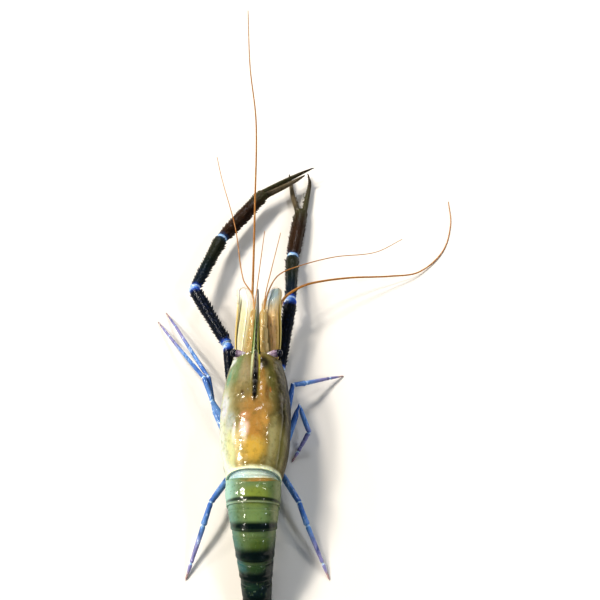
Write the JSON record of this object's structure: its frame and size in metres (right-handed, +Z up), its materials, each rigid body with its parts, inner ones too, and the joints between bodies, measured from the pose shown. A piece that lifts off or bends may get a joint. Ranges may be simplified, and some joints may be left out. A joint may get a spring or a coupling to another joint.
{
  "type": "giant river prawn",
  "caption": "Life-size giant river prawn lying belly down, great claws stretched ahead, tail bent down to the floor; a still display model.",
  "frame": {"origin": "middle of the flat of the breast plate, on the floor between the walking legs", "axes": "+Y points to the head, +X to the animal's right side, +Z up through its back"},
  "size_m": [0.2377, 0.43, 0.1452],
  "materials": {
    "shell": "wet, glossy",
    "rostrum": "wet, glossy",
    "tail_shell": "wet, glossy",
    "tail_fan": "wet, glossy",
    "membrane": "wet, satin",
    "cornea": "polished",
    "cream": "satin",
    "feeler": "satin",
    "leg": "satin",
    "arm": "satin",
    "claw": "satin"
  },
  "bodies": {
    "root": {"antenna_base_left": "cream", "antenna_base_right": "cream", "antennal_scale_left": "cream", "antennal_scale_right": "cream", "antennule_lash_left": "feeler", "antennule_lash_right": "feeler", "antennule_stem_left": "cream", "antennule_stem_right": "cream", "carapace": "shell", "cornea_left": "cornea", "cornea_right": "cornea", "eyestalk_left": "membrane", "eyestalk_right": "membrane", "feeler_left_1": "feeler", "feeler_left_2": "feeler", "feeler_right_1": "feeler", "feeler_right_2": "feeler", "great_claw_carpus_left": "arm", "great_claw_carpus_right": "arm", "great_claw_finger_left": "claw", "great_claw_finger_right": "claw", "great_claw_ischium_left": "arm", "great_claw_ischium_right": "arm", "great_claw_merus_left": "arm", "great_claw_merus_right": "arm", "great_claw_palm_left": "claw", "great_claw_palm_right": "claw", "leg_1_pincer_left": "leg", "leg_1_pincer_right": "leg", "leg_1_upper_left": "leg", "leg_1_upper_right": "leg", "leg_3_lower_left": "leg", "leg_3_lower_right": "leg", "leg_3_upper_left": "leg", "leg_3_upper_right": "leg", "leg_4_lower_left": "leg", "leg_4_lower_right": "leg", "leg_4_upper_left": "leg", "leg_4_upper_right": "leg", "leg_5_lower_left": "leg", "leg_5_lower_right": "leg", "leg_5_upper_left": "leg", "leg_5_upper_right": "leg", "maxilliped_left": "leg", "maxilliped_right": "leg", "pleomere_1": "tail_shell", "pleomere_2": "tail_shell", "pleomere_3": "tail_shell", "pleomere_4": "tail_shell", "pleomere_5": "tail_shell", "pleomere_6": "tail_shell", "rostrum": "rostrum", "telson": "tail_shell", "thorax": "membrane", "uropod_endopod_left": "tail_fan", "uropod_endopod_right": "tail_fan", "uropod_exopod_left": "tail_fan", "uropod_exopod_right": "tail_fan", "waist_membrane": "membrane"}
  },
  "joints": []
}
